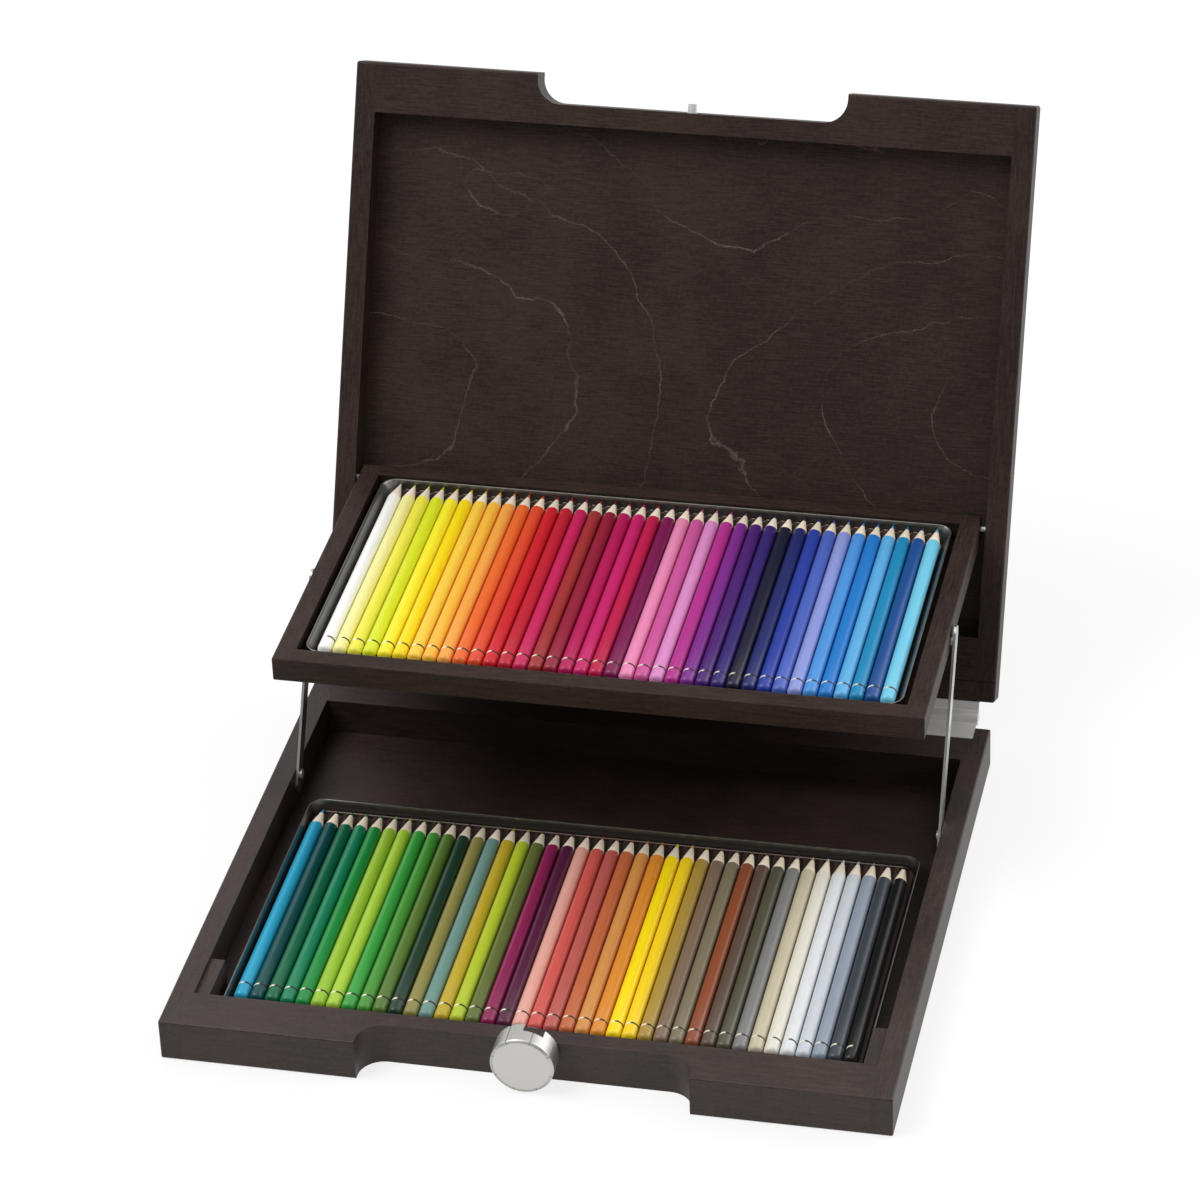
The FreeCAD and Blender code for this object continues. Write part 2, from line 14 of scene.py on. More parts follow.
import bpy
import numpy as np
from mathutils import Euler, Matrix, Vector

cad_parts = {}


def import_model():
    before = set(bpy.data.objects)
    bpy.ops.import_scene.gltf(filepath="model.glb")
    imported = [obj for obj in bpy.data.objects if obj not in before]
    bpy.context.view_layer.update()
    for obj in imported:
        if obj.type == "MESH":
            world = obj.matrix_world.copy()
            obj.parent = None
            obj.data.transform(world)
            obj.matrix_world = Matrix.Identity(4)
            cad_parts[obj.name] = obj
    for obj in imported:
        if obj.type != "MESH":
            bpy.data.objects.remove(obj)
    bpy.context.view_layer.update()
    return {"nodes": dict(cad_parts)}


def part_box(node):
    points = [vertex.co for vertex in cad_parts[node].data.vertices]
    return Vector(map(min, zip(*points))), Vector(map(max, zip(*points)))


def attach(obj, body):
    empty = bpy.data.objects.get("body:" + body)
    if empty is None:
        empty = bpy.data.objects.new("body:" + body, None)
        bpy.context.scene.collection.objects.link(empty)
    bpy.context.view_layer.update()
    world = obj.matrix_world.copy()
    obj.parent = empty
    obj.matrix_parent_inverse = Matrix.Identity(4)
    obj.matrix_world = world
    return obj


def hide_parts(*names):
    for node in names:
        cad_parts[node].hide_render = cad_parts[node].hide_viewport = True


LOG = logging.getLogger("pencil_case")
MM = 0.001
TURN = 2.0 * math.pi
LID_OPEN = math.radians(115.9)
SHARP_ANGLE = math.radians(38.0)

Colour = tuple[float, float, float]
Point = tuple[float, float, float]

HINGE_AXIS = (0.0, 0.1762, 0.0241)
# Hearts and knot of the lid's growth lines, in millimetres from the hinge axis of the closed lid,
# each moved by the mean push of the bend
LEFT_HEART = (-147.0, -127.0, 0.0)
RIGHT_HEART = (235.0, -127.0, 0.0)
KNOT = (-71.0, -239.0, 0.0)
RING_STEP = 43.0
# Joint line of the lid's hinge strip, in millimetres along Y from the hinge axis of the closed lid
STRIP_JOINT = -20.7
# How far and how quickly the bend pushes the growth lines, in millimetres and steps per millimetre,
# how softly the two hearts meet, and the radius of the loop round the knot
BEND_PUSH = 70.0
BEND_SCALE = 0.0125
HEART_BLEND = 30.0
KNOT_RADIUS = 10.0
# Scale of the wood noise along the fibres, against 1 across them
FIBRE_STRETCH = 0.06
# Gloss of the boards, by the first word of their plan in Woodwork
WOOD_GLOSS = {"base": 0.42, "corner": 0.42, "lid": 0.20, "tray": 0.16}
# Outline of a lead: distance from the end of the bare wood and radius, in millimetres
LEAD_PROFILE = ((-0.5, 1.30), (0.0, 1.22), (2.2, 0.78), (3.9, 0.42), (4.3, 0.27), (4.5, 0.10))


def linear(code: str) -> Colour:
    """Turns a hexadecimal display colour into scene-linear light.

    Args:
        code: six hexadecimal digits, red, green and blue.

    Returns:
        The three linear parts. Each display part v is v / 12.92 below 0.04045, and
        otherwise ((v + 0.055) / 1.055) to the power 2.4.
    """
    parts = [int(code[i:i + 2], 16) / 255.0 for i in (0, 2, 4)]
    light = [v / 12.92 if v <= 0.04045 else ((v + 0.055) / 1.055) ** 2.4 for v in parts]
    return light[0], light[1], light[2]


class Expr:
    """A number socket of one shader. An expression on it adds its Math nodes."""

    def __init__(self, shader: "Shader", socket: bpy.types.NodeSocket) -> None:
        """Wraps a socket of a shader's tree."""
        self.shader = shader
        self.socket = socket

    def math(self, operation: str, *others: "Expr | float") -> "Expr":
        """Adds a Math node with this value first.

        Args:
            operation: the Math node's operation.
            others: the values after this one.

        Returns:
            The node's result.
        """
        values = dict(enumerate((self, *others)))
        node = self.shader.node("ShaderNodeMath", {"operation": operation}, values)
        return Expr(self.shader, node.outputs[0])

    def __add__(self, other: "Expr | float") -> "Expr":
        """Sum."""
        return self.math("ADD", other)

    __radd__ = __add__

    def __sub__(self, other: "Expr | float") -> "Expr":
        """Difference."""
        return self.math("SUBTRACT", other)

    def __mul__(self, other: "Expr | float") -> "Expr":
        """Product."""
        return self.math("MULTIPLY", other)

    __rmul__ = __mul__

    def __truediv__(self, other: "Expr | float") -> "Expr":
        """Quotient."""
        return self.math("DIVIDE", other)

    def __abs__(self) -> "Expr":
        """Size without sign."""
        return self.math("ABSOLUTE")

    def ramp(self, low: float, high: float, to_low: float = 0.0, to_high: float = 1.0) -> "Expr":
        """Carries low..high smoothly onto to_low..to_high and holds the ends."""
        node = self.shader.node(
            "ShaderNodeMapRange",
            {"interpolation_type": "SMOOTHSTEP"},
            {"Value": self, "From Min": low, "From Max": high, "To Min": to_low, "To Max": to_high},
        )
        return Expr(self.shader, node.outputs["Result"])


Value = Expr | bpy.types.NodeSocket | float | Sequence[float]


class Shader:
    """One material with a Principled surface, and the means to add nodes to it."""

    def __init__(self, name: str, fixed: dict[str, object] | None = None) -> None:
        """Starts the material.

        Args:
            name: the material's name.
            fixed: constant values for sockets of the Principled surface.
        """
        self.material = bpy.data.materials.new(name)
        self.material.use_nodes = True
        self.tree = self.material.node_tree
        self.tree.nodes.clear()
        self.surface = self.node("ShaderNodeBsdfPrincipled", None, fixed)
        self.output = self.node("ShaderNodeOutputMaterial", None, {"Surface": self.surface.outputs[0]})

    def node(
        self,
        kind: str,
        settings: dict[str, object] | None = None,
        values: dict[str | int, Value] | None = None,
    ) -> bpy.types.Node:
        """Adds a node of any type.

        Args:
            kind: the node type's identifier.
            settings: its properties, set before its sockets are used.
            values: numbers, colours or links by socket name or number.

        Returns:
            The new node.
        """
        made = self.tree.nodes.new(kind)
        for key, value in (settings or {}).items():
            setattr(made, key, value)
        for key, value in (values or {}).items():
            self.put(made.inputs[key], value)
        return made

    def put(self, socket: bpy.types.NodeSocket, value: Value) -> None:
        """Links or sets one input socket."""
        if isinstance(value, Expr):
            value = value.socket
        if isinstance(value, bpy.types.NodeSocket):
            self.tree.links.new(value, socket)
        else:
            socket.default_value = value

    def feed(self, name: str, value: Value) -> None:
        """Gives a socket of the Principled surface its value or link."""
        self.put(self.surface.inputs[name], value)

    def place(
        self,
        turn_x: float = 0.0,
        centre: Point = (0.0, 0.0, 0.0),
        scale: Point = (1.0, 1.0, 1.0),
    ) -> Value:
        """Object coordinates in millimetres, turned, centred and stretched for a pattern.

        Args:
            turn_x: the angle about X that lays a tilted part flat.
            centre: the point that becomes the pattern's origin, in metres.
            scale: the pattern's steps per millimetre along each axis.

        Returns:
            The vector socket.
        """
        coordinates = self.node("ShaderNodeTexCoord").outputs["Object"]
        moved = self.node(
            "ShaderNodeVectorMath", {"operation": "SUBTRACT"}, {0: coordinates, 1: centre}
        ).outputs[0]
        turned = self.node("ShaderNodeMapping", None, {"Vector": moved, "Rotation": (turn_x, 0.0, 0.0)})
        stretch = tuple(s / MM for s in scale)
        return self.node(
            "ShaderNodeVectorMath", {"operation": "MULTIPLY"}, {0: turned.outputs[0], 1: stretch}
        ).outputs[0]

    def noise(self, vector: Value, scale: float, detail: float = 2.0, rough: float = 0.5) -> Expr:
        """Fractal noise from 0 to 1 about 0.5."""
        made = self.node(
            "ShaderNodeTexNoise",
            None,
            {"Vector": vector, "Scale": scale, "Detail": detail, "Roughness": rough},
        )
        return Expr(self, made.outputs["Fac"])

    def blend(self, share: Value, first: Value, second: Value) -> bpy.types.NodeSocket:
        """Mixes two colours by a share from 0 to 1."""
        made = self.node("ShaderNodeMix", {"data_type": "RGBA", "clamp_factor": True})
        for key, value in zip((0, 6, 7), (share, first, second)):
            self.put(made.inputs[key], with_alpha(value) if isinstance(value, tuple) else value)
        return made.outputs[2]

    def bump(self, height: Expr, depth: float) -> None:
        """Feeds the surface's Normal from a height map of a given depth in metres."""
        made = self.node("ShaderNodeBump", None, {"Height": height, "Distance": depth, "Strength": 1.0})
        self.feed("Normal", made.outputs[0])


class Surround(Shader):
    """The world's white background and the means to add nodes to it."""

    def __init__(self, world: bpy.types.World) -> None:
        """Starts the world's own node tree."""
        world.use_nodes = True
        self.material = None
        self.tree = world.node_tree
        self.tree.nodes.clear()
        self.surface = self.node("ShaderNodeBackground", None, {"Color": (1.0, 1.0, 1.0, 1.0)})
        self.output = self.node("ShaderNodeOutputWorld", None, {"Surface": self.surface.outputs[0]})


def with_alpha(colour: Colour) -> tuple[float, float, float, float]:
    """The colour with full alpha after it."""
    return (*colour, 1.0)


class Grain(Enum):
    """Which way the fibres of a board run."""

    ALONG_X = "x"
    ALONG_Y = "y"


@dataclass(frozen=True)
class Wood:
    """Dark stained satin wood with fine fibres, pores and, on panels, pale wandering growth lines."""

    name: str
    grain: Grain
    turn: float = 0.0
    figured: bool = False
    seed: float = 0.0
    gloss: float = 0.42
    jointed: bool = False
    dark: Colour = linear("191210")
    light: Colour = linear("41312B")
    line: Colour = linear("6C5C54")
    rough: float = 0.42

    def material(self) -> bpy.types.Material:
        """Builds the finish.

        Returns:
            The material. Fibres are noise drawn out along the grain, clouds are wide even noise,
            and growth lines are level lines of the distance from two hearts beside the board.
            A jointed board shows the dark joint line of the hinge strip.
        """
        shader = Shader(self.name, {"IOR": 1.5, "Specular IOR Level": self.gloss})
        shift = (self.seed, self.seed * 0.37, self.seed * 0.11)
        across = self.grain is Grain.ALONG_Y
        stretched = (1.0, FIBRE_STRETCH, 1.0) if across else (FIBRE_STRETCH, 1.0, 1.0)
        fibre = shader.place(self.turn, shift, stretched)
        flat = shader.place(self.turn, shift)
        streak = shader.noise(fibre, 1.1, 3.0, 0.6)
        hair = shader.noise(fibre, 3.4, 2.0, 0.6)
        cloud = shader.noise(flat, 0.02, 2.0, 0.5)
        fleck = shader.noise(flat, 0.45, 3.0, 0.65)
        pore = hair.ramp(0.60, 0.74)
        tone = streak.ramp(0.3, 0.7) * 0.45 + cloud.ramp(0.3, 0.7) * 0.25 + fleck.ramp(0.3, 0.7) * 0.30
        colour = shader.blend(tone, self.dark, self.light)
        colour = shader.blend(pore * 0.45, colour, tuple(c * 0.45 for c in self.dark))
        if self.figured:
            colour = shader.blend(self.growth_lines(shader), colour, self.line)
        if self.jointed:
            board = shader.place(self.turn, HINGE_AXIS)
            depth = Expr(shader, shader.node("ShaderNodeSeparateXYZ", None, {0: board}).outputs["Y"])
            joint = abs(depth - STRIP_JOINT).ramp(0.15, 0.45, 0.85, 0.0)
            colour = shader.blend(joint, colour, tuple(c * 0.25 for c in self.dark))
        shader.feed("Base Color", colour)
        shader.feed("Roughness", self.rough + 0.12 * streak + pore * 0.08)
        shader.bump(streak * 0.5 + hair * 0.3 - pore * 0.5, 0.00008)
        return shader.material

    def growth_lines(self, shader: Shader) -> Expr:
        """Thin pale lines, broken and uneven, that bend round a heart beyond each end of the board.

        Args:
            shader: the material's shader.

        Returns:
            The lines' strength from 0 to 1. With d the smooth least distance from the two hearts
            after a fractal bend of the board's plane, lines lie where d is a whole number of
            steps, and one more loop lies round a knot.
        """
        board = shader.place(self.turn, HINGE_AXIS)
        bend = shader.node(
            "ShaderNodeTexNoise",
            None,
            {"Vector": board, "Scale": BEND_SCALE, "Detail": 6.0, "Roughness": 0.5},
        ).outputs["Color"]
        push = shader.node(
            "ShaderNodeVectorMath",
            {"operation": "MULTIPLY_ADD"},
            {0: bend, 1: (BEND_PUSH, BEND_PUSH, 0.0), 2: board},
        ).outputs[0]
        left = self.reach(shader, push, LEFT_HEART, (0.75, 1.0, 0.0))
        right = self.reach(shader, push, RIGHT_HEART, (0.75, 1.35, 0.0))
        reach = left.math("SMOOTH_MIN", right, HEART_BLEND)
        gap = abs((reach / RING_STEP + 0.5).math("FRACT") - 0.5) * RING_STEP
        knot = abs(self.reach(shader, push, KNOT, (0.4, 1.0, 0.0)) - KNOT_RADIUS)
        line = gap.math("MINIMUM", knot).ramp(0.15, 0.65, 1.0, 0.0)
        broken = shader.noise(board, 0.04, 2.0, 0.5).ramp(0.38, 0.66, 0.10, 0.9)
        speck = shader.noise(board, 0.9, 2.0, 0.6).ramp(0.35, 0.65, 0.25, 1.0)
        return line * broken * speck

    def reach(self, shader: Shader, place: Value, centre: Point, scale: Point) -> Expr:
        """Distance from a point of the board, with its own scale along each axis.

        Args:
            shader: the material's shader.
            place: the board's coordinates in millimetres.
            centre: the point.
            scale: how much each axis counts.

        Returns:
            The length of scale times (place - centre).
        """
        kind = "ShaderNodeVectorMath"
        offset = shader.node(kind, {"operation": "SUBTRACT"}, {0: place, 1: centre}).outputs[0]
        scaled = shader.node(kind, {"operation": "MULTIPLY"}, {0: offset, 1: scale}).outputs[0]
        length = shader.node(kind, {"operation": "LENGTH"}, {0: scaled})
        return Expr(shader, length.outputs["Value"])


@dataclass(frozen=True)
class Metal:
    """Satin metal with fine brush marks along one axis."""

    name: str
    colour: Colour
    rough: float
    stretch: Point = (0.05, 1.0, 1.0)
    metallic: float = 1.0
    depth: float = 0.00001
    dim: float = 0.86

    def material(self) -> bpy.types.Material:
        """Builds the finish from noise drawn out along the brushing."""
        shader = Shader(self.name, {"Metallic": self.metallic})
        marks = shader.noise(shader.place(scale=self.stretch), 6.0, 3.0, 0.6)
        haze = shader.noise(shader.place(), 0.12, 2.0, 0.5)
        dim = tuple(self.dim * c for c in self.colour)
        shader.feed("Base Color", shader.blend(marks.ramp(0.3, 0.7), dim, self.colour))
        shader.feed("Roughness", self.rough + 0.08 * marks + 0.06 * haze)
        shader.bump(marks, self.depth)
        return shader.material


@dataclass(frozen=True)
class TurnedMetal:
    """Satin metal, turned about an axis along Y, with a soft front edge and thin engraved lines drawn as
    painted shade.
    """

    name: str
    colour: Colour
    rough: float
    centre: Point
    radius: float
    lines: int = 8
    first: float = math.radians(-17.5)
    dim: float = 0.90
    fall: tuple[float, float] = (2.0, 0.4)
    fall_depth: float = 0.0008

    def material(self) -> bpy.types.Material:
        """Builds the finish.

        Returns:
            The material. Its rings are noise read at the distance from the axis, the root of
            x squared plus z squared. The face falls away from 2 mm to 0.4 mm inside its edge, and the
            lines cross side and edge at equal angles, where the arc to the next one is short. The lines
            are painted shade: dark colour where grooves would lie in shade.
        """
        shader = Shader(self.name, {"Metallic": 1.0})
        local = shader.place(centre=self.centre, scale=(1.0, 0.0, 1.0))
        far = shader.node("ShaderNodeVectorMath", {"operation": "LENGTH"}, {0: local}).outputs["Value"]
        radius = Expr(shader, far)
        split = shader.node("ShaderNodeSeparateXYZ", None, {0: local})
        angle = Expr(shader, split.outputs["Z"]).math("ARCTAN2", Expr(shader, split.outputs["X"]))
        step = TURN / self.lines
        arc = abs(((angle - self.first) / step + 0.5).math("FRACT") - 0.5) * step * radius
        size = self.radius / MM
        # Painted shade: the engraved lines only darken the colour, as shaded grooves would
        line = arc.ramp(0.10, 0.34, 1.0, 0.0) * radius.ramp(size - 2.2, size - 1.9)
        spread = shader.node("ShaderNodeCombineXYZ", None, {"X": radius}).outputs[0]
        rings = shader.noise(spread, 7.0, 2.0, 0.6)
        haze = shader.noise(shader.place(), 0.25, 2.0, 0.5)
        dim = tuple(self.dim * c for c in self.colour)
        turned = shader.blend(rings.ramp(0.3, 0.7), dim, self.colour)
        shader.feed("Base Color", shader.blend(line * 0.75, turned, tuple(0.22 * c for c in self.colour)))
        shader.feed("Roughness", self.rough + 0.10 * rings + 0.08 * haze)
        start, end = (size - inside for inside in self.fall)
        shader.bump(rings * 0.012 - radius.ramp(start, end), self.fall_depth)
        return shader.material


@dataclass(frozen=True)
class Moulded:
    """Dull dark moulded plastic with a fine grain and a painted highlight along its rear edge, for the beds
    under the pencils.
    """

    name: str
    colour: Colour
    rear: float
    # Colour of the painted highlight along the rear edge
    edge: Colour = linear("96837A")
    dim: float = 0.72

    def material(self) -> bpy.types.Material:
        """Builds the finish from fine even noise, and a pale painted highlight line within 0.7 mm of the
        rear end.
        """
        shader = Shader(self.name, {"Specular IOR Level": 0.4})
        fine = shader.noise(shader.place(), 2.2, 3.0, 0.6)
        dim = tuple(self.dim * c for c in self.colour)
        grained = shader.blend(fine.ramp(0.3, 0.7), dim, self.colour)
        # Painted highlight: the rear edge drawn as if catching the light, pale within 0.7 mm of the rear end
        along = shader.place(centre=(0.0, self.rear, 0.0), scale=(0.0, 1.0, 0.0))
        rear_highlight_share = Expr(shader, shader.node("ShaderNodeSeparateXYZ", None, {0: along}).outputs["Y"])
        shader.feed("Base Color", shader.blend(rear_highlight_share.ramp(-0.8, -0.6), grained, self.edge))
        shader.feed("Roughness", 0.50 + 0.15 * fine)
        shader.bump(fine, 0.00005)
        return shader.material


@dataclass(frozen=True)
class Lacquer:
    """Gloss lacquer in each pencil's own shade, with a thin foil ring near the blunt end that carries a
    painted reflection.
    """

    name: str
    ring_y: float
    ring_half: float = 0.62 * MM
    # Foil colours: a pale painted highlight on the left side and a dark painted shade on the right side
    foil: Colour = linear("FBF4DE")
    foil_painted_shade: Colour = linear("1A150F")

    def material(self) -> bpy.types.Material:
        """Builds the finish.

        Returns:
            The material. The shade comes from the mesh's own colour attribute, and the ring is
            where the distance along Y from ring_y is under ring_half. The ring's foil is a painted
            reflection: pale on its left side and painted shade towards its right side, by the X part
            of the surface's direction.
        """
        fixed = {
            "IOR": 1.5,
            "Specular IOR Level": 0.35,
            "Coat Roughness": 0.08,
            "Coat IOR": 1.5,
            "Coat Weight": 0.12,
        }
        shader = Shader(self.name, fixed)
        shade = shader.node("ShaderNodeAttribute", {"attribute_name": "shade"}).outputs["Color"]
        along = shader.place(centre=(0.0, self.ring_y, 0.0), scale=(0.0, 1.0, 0.0))
        offset = Expr(shader, shader.node("ShaderNodeSeparateXYZ", None, {0: along}).outputs["Y"])
        half = self.ring_half / MM
        ring = abs(offset).ramp(half * 0.85, half * 1.15, 1.0, 0.0)
        # Painted reflection on the foil: pale on each pencil's left, painted shade towards its right, by the
        # normal's X part
        facing = shader.node("ShaderNodeTexCoord").outputs["Normal"]
        side = Expr(shader, shader.node("ShaderNodeSeparateXYZ", None, {0: facing}).outputs["X"])
        foil = shader.blend(side.ramp(-0.30, 0.10), self.foil, self.foil_painted_shade)
        flow = shader.noise(shader.place(scale=(1.0, 0.12, 1.0)), 0.9, 2.0, 0.5)
        toned = shader.blend(flow.ramp(0.3, 0.7) * 0.06, shade, (0.0, 0.0, 0.0))
        shader.feed("Base Color", shader.blend(ring, toned, foil))
        shader.feed("Metallic", ring * 0.3)
        shader.feed("Roughness", 0.30 + 0.10 * flow)
        shader.bump(flow, 0.00002)
        return shader.material


@dataclass(frozen=True)
class BareCedar:
    """Sharpened bare wood with fine lines along the pencil."""

    name: str

    def material(self) -> bpy.types.Material:
        """Builds the finish from noise drawn out along Y over each pencil's own tone."""
        shader = Shader(self.name, {"Specular IOR Level": 0.25})
        tone = shader.node("ShaderNodeAttribute", {"attribute_name": "shade"}).outputs["Color"]
        lines = shader.noise(shader.place(scale=(1.0, 0.10, 1.0)), 2.6, 3.0, 0.6)
        shader.feed("Base Color", shader.blend(lines.ramp(0.35, 0.75) * 0.22, tone, linear("9A7858")))
        shader.feed("Roughness", 0.62 + 0.15 * lines)
        shader.bump(lines, 0.00005)
        return shader.material


@dataclass(frozen=True)
class WaxLead:
    """Waxy coloured lead in each pencil's own shade."""

    name: str

    def material(self) -> bpy.types.Material:
        """Builds the finish from fine noise over the shade."""
        shader = Shader(self.name, {"Specular IOR Level": 0.35})
        shade = shader.node("ShaderNodeAttribute", {"attribute_name": "shade"}).outputs["Color"]
        fine = shader.noise(shader.place(), 3.0, 2.0, 0.6)
        shader.feed("Base Color", shader.blend(fine.ramp(0.3, 0.7) * 0.25, shade, (0.0, 0.0, 0.0)))
        shader.feed("Roughness", 0.42 + 0.12 * fine)
        shader.bump(fine, 0.00003)
        return shader.material


def new_piece(name: str, points: np.ndarray, faces: list[list[int]], body: str) -> bpy.types.Object:
    """Makes a mesh piece with smooth faces and sharp creases, riding on a body.

    Args:
        name: the piece's name.
        points: vertex places, one row each, in metres.
        faces: vertex numbers of each face, anticlockwise from outside.
        body: the CAD body it rides on.

    Returns:
        The new object, at the origin.
    """
    mesh = bpy.data.meshes.new(name)
    mesh.from_pydata(points.tolist(), [], faces)
    mesh.polygons.foreach_set("use_smooth", np.ones(len(faces), bool))
    mesh.set_sharp_from_angle(angle=SHARP_ANGLE)
    mesh.validate()
    mesh.update()
    piece = bpy.data.objects.new(name, mesh)
    bpy.context.scene.collection.objects.link(piece)
    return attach(piece, body)


def ring_faces(rings: int, sides: int) -> np.ndarray:
    """Quads between neighbouring closed rings, numbered ring by ring, facing away from the axis.

    Args:
        rings: how many rings follow each other.
        sides: points in each ring.

    Returns:
        Vertex numbers, one row for each quad.
    """
    i, j = np.meshgrid(np.arange(rings - 1), np.arange(sides), indexing="ij")
    k = (j + 1) % sides
    corners = [i * sides + j, (i + 1) * sides + j, (i + 1) * sides + k, i * sides + k]
    return np.stack(corners, -1).reshape(-1, 4)


@dataclass(frozen=True)
class Spindle:
    """A closed round body along Y, worked out as rings of points with a pole at each end."""

    sides: int = 24

    def surface(self, along: np.ndarray, radius: np.ndarray) -> tuple[np.ndarray, list[list[int]]]:
        """Points and faces about the Y axis.

        Args:
            along: the place of each ring point along Y, rings by sides.
            radius: its distance from the axis, rings by sides.

        Returns:
            Vertices and faces. A ring point at angle t is (radius cos t, along, radius sin t),
            and the poles are the mean places of the first and last ring on the axis.
        """
        rings = along.shape[0]
        turn = np.arange(self.sides) * TURN / self.sides
        grid = np.stack([radius * np.cos(turn), along, radius * np.sin(turn)], -1).reshape(-1, 3)
        poles = np.array([[0.0, along[0].mean(), 0.0], [0.0, along[-1].mean(), 0.0]])
        points = np.concatenate([grid, poles])
        faces = ring_faces(rings, self.sides)[:, ::-1].tolist()
        first, last = rings * self.sides, rings * self.sides + 1
        start = (rings - 1) * self.sides
        for j in range(self.sides):
            k = (j + 1) % self.sides
            faces.append([first, j, k])
            faces.append([last, start + k, start + j])
        return points, faces


PALETTE = {
    "upper": (
        ("yellow", "F7F7F3 F6EF9C F0E84A DCE628 FBEC2E FADC10 F9CC44 F8BB3E F3A546"),
        ("red", "EA6A2C DE4B2C CC1F2A BE1D33 C5215A A03032 921C38"),
        ("pink", "B41556 C41F68 BC184A 7A1450 E889B3 C95599 D98BC4 B2308C"),
        ("violet", "7C2A8A 4B1F70 35246F 1A1B34"),
        ("blue", "222A68 2A3F9E 4B63BA 8B97D6 4B92D8 1F78C6 5AAADE 1A86B6 1A4C8E 72C8E4"),
    ),
    "lower": (
        ("green", "28A0C4 0B484A 0E6444 148058 1B8A3E 98C236 A6CC3C 369C3E 459234 55762E 1D3B2B"),
        ("olive", "8C8648 6C928A BFA62C B2C42E 5F6C32"),
        ("rose", "8A2052 551C3D E4A597 D05850 BA5B53 C2683F"),
        ("ochre", "D2904A DB8B2F FBDD12 F5D11E AA8C3C 7E6855 7C725A 8C4B2E 5D4B3F 555140"),
        ("grey", "7D7D7B C4BAA0 E0DCCE DEE0E2 C8CED4 8F99A8 3D434B 181818"),
    ),
}


